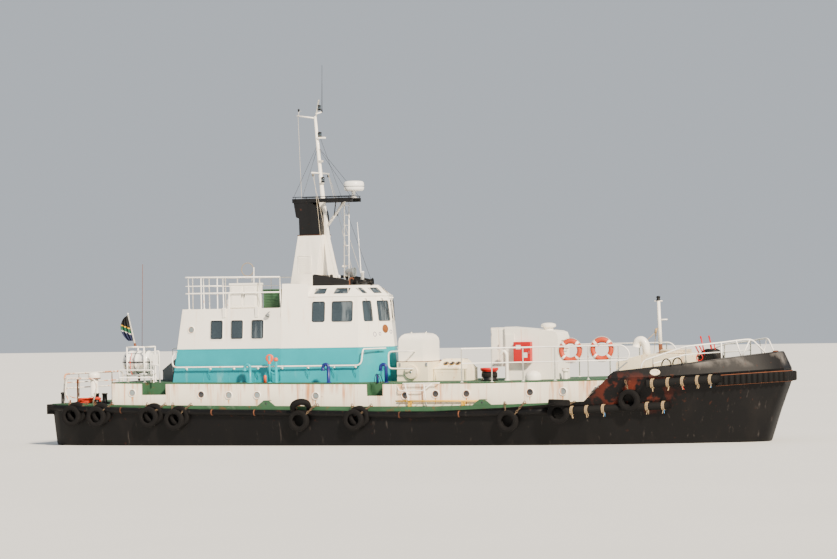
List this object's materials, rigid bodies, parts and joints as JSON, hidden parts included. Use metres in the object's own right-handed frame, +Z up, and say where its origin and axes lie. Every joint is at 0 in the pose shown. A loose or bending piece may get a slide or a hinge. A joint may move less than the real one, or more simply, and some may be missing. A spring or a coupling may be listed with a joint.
{
  "type": "harbour tugboat",
  "caption": "Steel twin-screw harbour tug with a raised trunk, deckhouse and faceted wheelhouse, funnel, mast, deck rails, tyre fenders and rudders.",
  "frame": {"origin": "on the centreline amidships, at the waterline", "axes": "+X to the bow, +Y to port, +Z up"},
  "size_m": [24.732, 7.3005, 14.3901],
  "materials": {
    "hull_paint": "weathered satin black",
    "white_paint": "weathered gloss white",
    "cream_paint": "weathered cream",
    "green_paint": "worn deck green",
    "teal_paint": "gloss teal",
    "black_paint": "satin black",
    "red_paint": "gloss red",
    "yellow_paint": "worn yellow",
    "grey_paint": "satin grey",
    "fender_rubber": "matt worn rubber",
    "tyre_rubber": "matt worn tyre",
    "pane_glass": "clear, tinted",
    "bronze": "cast and dulled",
    "floor_boards": "varnished",
    "buoy_shell": "moulded",
    "raft_shell": "moulded glass fibre",
    "ensign_cloth": "woven"
  },
  "bodies": {
    "vessel": {"hull": "hull_paint", "trunk": "white_paint", "bulwark": "hull_paint", "bow_fender": "fender_rubber", "stern_fender": "fender_rubber", "strake_starboard": "tyre_rubber", "strake_port": "tyre_rubber", "shoulder_fender_starboard": "tyre_rubber", "shoulder_fender_port": "tyre_rubber", "fore_house": "cream_paint", "deckhouse": "teal_paint", "wheelhouse": "white_paint", "deckhouse_panes": "pane_glass", "wheelhouse_panes": "pane_glass", "wheelhouse_floor": "floor_boards", "helm": "grey_paint", "house_rail_starboard": "white_paint", "house_rail_port": "white_paint", "upper_rail": "white_paint", "upper_locker": "white_paint", "ventilator_box": "green_paint", "funnel_casing": "white_paint", "funnel_top": "black_paint", "mast": "white_paint", "mast_ladder": "white_paint", "radar_dome": "raft_shell", "roof_coaming": "black_paint", "dome_locker": "white_paint", "locker_base": "cream_paint", "skylight": "cream_paint", "mooring_drum": "black_paint", "companionway": "cream_paint", "hose_cabinet": "red_paint", "fore_rail_starboard": "white_paint", "fore_rail_port": "white_paint", "bow_rail_starboard": "white_paint", "bow_rail_port": "white_paint", "lifebuoy_1": "buoy_shell", "lifebuoy_2": "buoy_shell", "boarding_ladder": "yellow_paint", "foremast": "white_paint", "windlass": "black_paint", "liferaft": "raft_shell", "raft_cradle": "white_paint", "ensign": "ensign_cloth", "aft_hatch": "grey_paint", "stern_rail": "white_paint", "towing_bitts": "black_paint", "stern_vent": "white_paint", "quarter_bitts": "black_paint"},
    "propeller_starboard": {"propeller_starboard": "bronze"},
    "propeller_port": {"propeller_port": "bronze"},
    "rudder_starboard": {"rudder_starboard": "hull_paint"},
    "rudder_port": {"rudder_port": "hull_paint"},
    "deckhouse_door": {"deckhouse_door": "teal_paint"},
    "companionway_door": {"companionway_door": "cream_paint"},
    "skylight_lid_starboard": {"skylight_lid_starboard": "cream_paint"},
    "skylight_lid_port": {"skylight_lid_port": "cream_paint"},
    "searchlight": {"searchlight": "grey_paint"},
    "windlass_drum": {"windlass_drum": "black_paint"}
  },
  "joints": [
    {"name": "propeller_starboard_spin", "type": "hinge", "parent": "vessel", "child": "propeller_starboard", "pos_m": [-10.2, -1.08, -1.42], "axis": [1, 0, 0], "continuous": true},
    {"name": "propeller_port_spin", "type": "hinge", "parent": "vessel", "child": "propeller_port", "pos_m": [-10.2, 1.08, -1.42], "axis": [1, 0, 0], "continuous": true},
    {"name": "rudder_starboard_turn", "type": "hinge", "parent": "vessel", "child": "rudder_starboard", "pos_m": [-11.15, -1.08, -1.42], "axis": [0, 0, 1], "range_deg": [-35, 35]},
    {"name": "rudder_port_turn", "type": "hinge", "parent": "vessel", "child": "rudder_port", "pos_m": [-11.15, 1.08, -1.42], "axis": [0, 0, 1], "range_deg": [-35, 35]},
    {"name": "deckhouse_door_swing", "type": "hinge", "parent": "vessel", "child": "deckhouse_door", "pos_m": [-8.00836, 1.818, 2.13], "axis": [-0.127, 0, -0.9919], "range_deg": [0, 110]},
    {"name": "companionway_door_swing", "type": "hinge", "parent": "vessel", "child": "companionway_door", "pos_m": [4, 0.566, 2.14], "axis": [0, 0, -1], "range_deg": [0, 100]},
    {"name": "skylight_starboard_lift", "type": "hinge", "parent": "vessel", "child": "skylight_lid_starboard", "pos_m": [1.065, -0.08, 2.654], "axis": [-1, 0, 0], "range_deg": [0, 60]},
    {"name": "skylight_port_lift", "type": "hinge", "parent": "vessel", "child": "skylight_lid_port", "pos_m": [1.065, 0.08, 2.654], "axis": [1, 0, 0], "range_deg": [0, 60]},
    {"name": "searchlight_pan", "type": "hinge", "parent": "vessel", "child": "searchlight", "pos_m": [-2.42, -0.3, 5.3], "axis": [0, 0, 1], "range_deg": [-170, 170]},
    {"name": "windlass_drum_turn", "type": "hinge", "parent": "vessel", "child": "windlass_drum", "pos_m": [9.64, 0, 2.59], "axis": [0, 1, 0], "continuous": true}
  ],
  "couplings": [
    {"joint": "rudder_port_turn", "follows": "rudder_starboard_turn", "ratio": 1}
  ]
}
